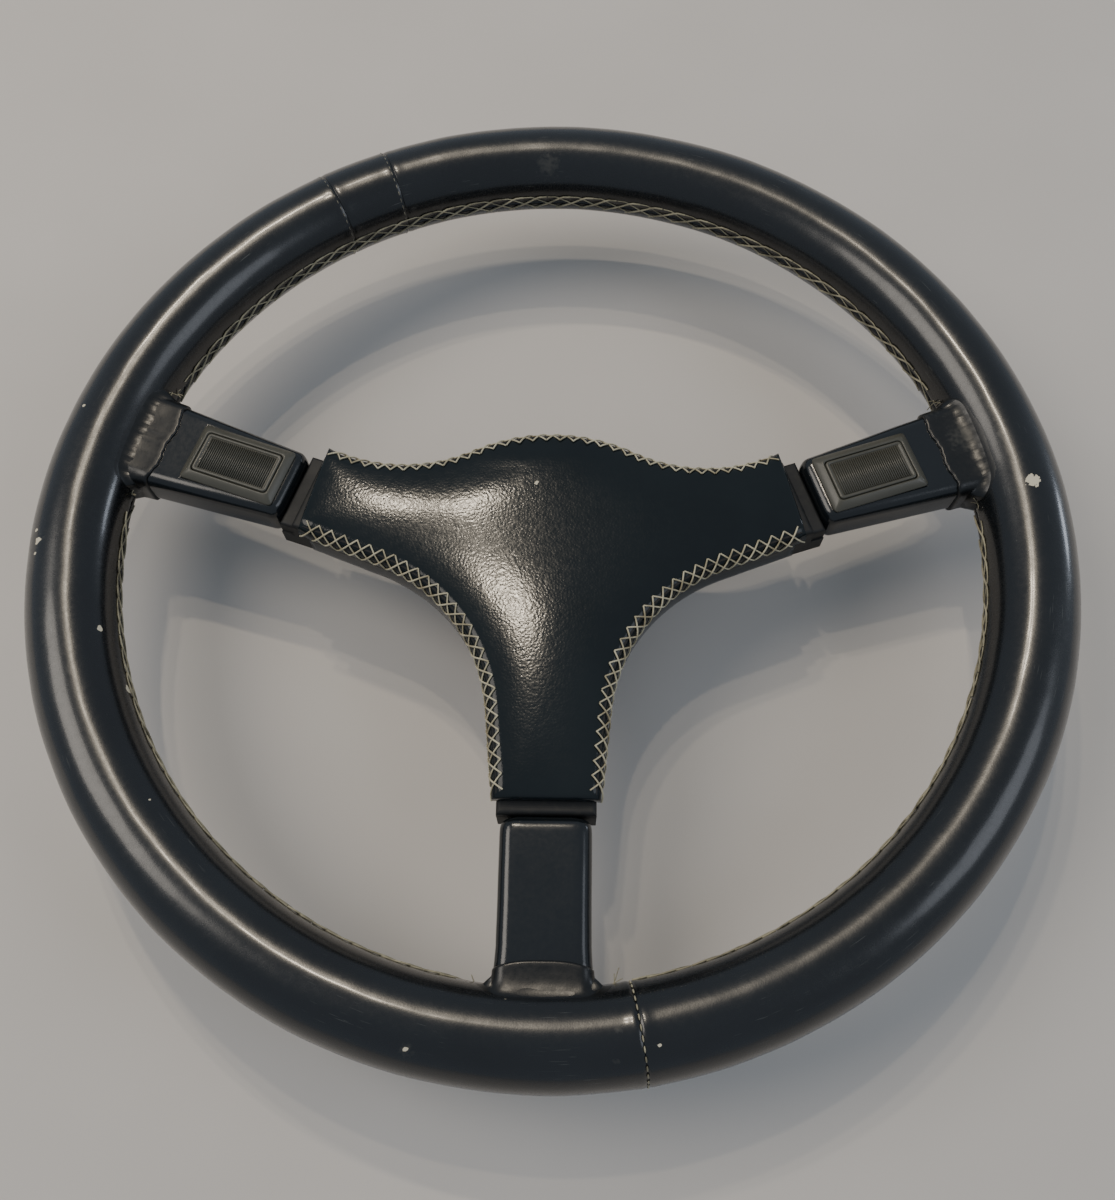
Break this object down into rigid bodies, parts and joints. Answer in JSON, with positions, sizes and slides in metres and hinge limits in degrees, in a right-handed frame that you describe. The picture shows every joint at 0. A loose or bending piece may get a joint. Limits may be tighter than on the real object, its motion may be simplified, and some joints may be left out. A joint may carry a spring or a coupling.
{
  "type": "quick release steering wheel",
  "caption": "Round leather-wrapped wheel with three spokes, a stitched centre pad, a horn push in each side spoke and a ball-lock quick release hub behind.",
  "frame": {"origin": "centre of the quick release hub's mouth, on its lowest face", "axes": "+Z along the steering axis towards the driver, +Y towards twelve o'clock"},
  "size_m": [0.38, 0.38, 0.0666],
  "materials": {
    "rim_leather": "smooth waxed hide, worn to a soft gloss",
    "pad_leather": "fine grained hide",
    "lacing": "waxed cream thread",
    "moulding": "black moulded plastic",
    "sleeve": "hide glued over a moulded sleeve",
    "horn_plastic": "satin grey brown moulded plastic",
    "foam": "moulded polyurethane foam",
    "plate_steel": "black stoved paint on steel",
    "core_steel": "bare drawn steel",
    "hub_aluminium": "turned and clear anodised",
    "collar_aluminium": "turned and black anodised",
    "zinc_steel": "bright zinc plate",
    "spring_steel": "drawn spring wire",
    "ball_steel": "ground and polished",
    "contact_brass": "stamped brass",
    "wire_sleeve": "red insulation"
  },
  "bodies": {
    "root": {"rim_leather_right": "rim_leather", "rim_leather_left": "rim_leather", "rim_leather_patch": "rim_leather", "rim_lacing": "lacing", "rim_seam_threads": "lacing", "pad_lacing": "lacing", "pad_leather": "pad_leather", "pad_side_band": "pad_leather", "rim_foam": "foam", "pad_foam": "foam", "rim_core": "core_steel", "spoke_plate": "plate_steel", "spoke_sleeve_left": "sleeve", "spoke_sleeve_right": "sleeve", "spoke_sleeve_bottom": "sleeve", "hub_tray": "moulding", "pad_frame": "moulding", "pad_clips": "spring_steel", "release_hub": "hub_aluminium", "release_spring": "spring_steel", "collar_stop_washer": "zinc_steel", "collar_snap_ring": "spring_steel", "clamp_ring": "hub_aluminium", "hub_screws": "zinc_steel", "horn_contact_bush": "moulding", "horn_contact_pin": "contact_brass", "horn_base_left": "moulding", "horn_bezel_left": "horn_plastic", "horn_fixed_contact_left": "contact_brass", "horn_springs_left": "spring_steel", "horn_wire_left": "wire_sleeve", "horn_base_right": "moulding", "horn_bezel_right": "horn_plastic", "horn_fixed_contact_right": "contact_brass", "horn_springs_right": "spring_steel", "horn_wire_right": "wire_sleeve"},
    "key_left": {"horn_key_left": "horn_plastic", "horn_moving_contact_left": "contact_brass"},
    "key_right": {"horn_key_right": "horn_plastic", "horn_moving_contact_right": "contact_brass"},
    "collar": {"release_collar": "collar_aluminium"},
    "ball_1": {"lock_ball_1": "ball_steel"},
    "ball_2": {"lock_ball_2": "ball_steel"},
    "ball_3": {"lock_ball_3": "ball_steel"},
    "ball_4": {"lock_ball_4": "ball_steel"},
    "ball_5": {"lock_ball_5": "ball_steel"},
    "ball_6": {"lock_ball_6": "ball_steel"}
  },
  "joints": [
    {"name": "horn_push_left", "type": "slide", "parent": "root", "child": "key_left", "axis": [0, 0, -1], "range_m": [0, 0.0013], "stiffness_N_per_m": 1200, "springref_m": -0.0015, "deforming": ["horn_springs_left"]},
    {"name": "horn_push_right", "type": "slide", "parent": "root", "child": "key_right", "axis": [0, 0, -1], "range_m": [0, 0.0013], "stiffness_N_per_m": 1200, "springref_m": -0.0015, "deforming": ["horn_springs_right"]},
    {"name": "collar_pull", "type": "slide", "parent": "root", "child": "collar", "axis": [0, 0, 1], "range_m": [0, 0.007], "stiffness_N_per_m": 3000, "springref_m": -0.005, "deforming": ["release_spring"]},
    {"name": "ball_1_out", "type": "slide", "parent": "root", "child": "ball_1", "axis": [1, 0, 0], "range_m": [0, 0.0024]},
    {"name": "ball_2_out", "type": "slide", "parent": "root", "child": "ball_2", "axis": [0.5, 0.866, 0], "range_m": [0, 0.0024]},
    {"name": "ball_3_out", "type": "slide", "parent": "root", "child": "ball_3", "axis": [-0.5, 0.866, 0], "range_m": [0, 0.0024]},
    {"name": "ball_4_out", "type": "slide", "parent": "root", "child": "ball_4", "axis": [-1, 0, 0], "range_m": [0, 0.0024]},
    {"name": "ball_5_out", "type": "slide", "parent": "root", "child": "ball_5", "axis": [-0.5, -0.866, 0], "range_m": [0, 0.0024]},
    {"name": "ball_6_out", "type": "slide", "parent": "root", "child": "ball_6", "axis": [0.5, -0.866, 0], "range_m": [0, 0.0024]}
  ],
  "couplings": [
    {"joint": "ball_1_out", "follows": "collar_pull", "ratio": 0.34},
    {"joint": "ball_2_out", "follows": "collar_pull", "ratio": 0.34},
    {"joint": "ball_3_out", "follows": "collar_pull", "ratio": 0.34},
    {"joint": "ball_4_out", "follows": "collar_pull", "ratio": 0.34},
    {"joint": "ball_5_out", "follows": "collar_pull", "ratio": 0.34},
    {"joint": "ball_6_out", "follows": "collar_pull", "ratio": 0.34}
  ]
}
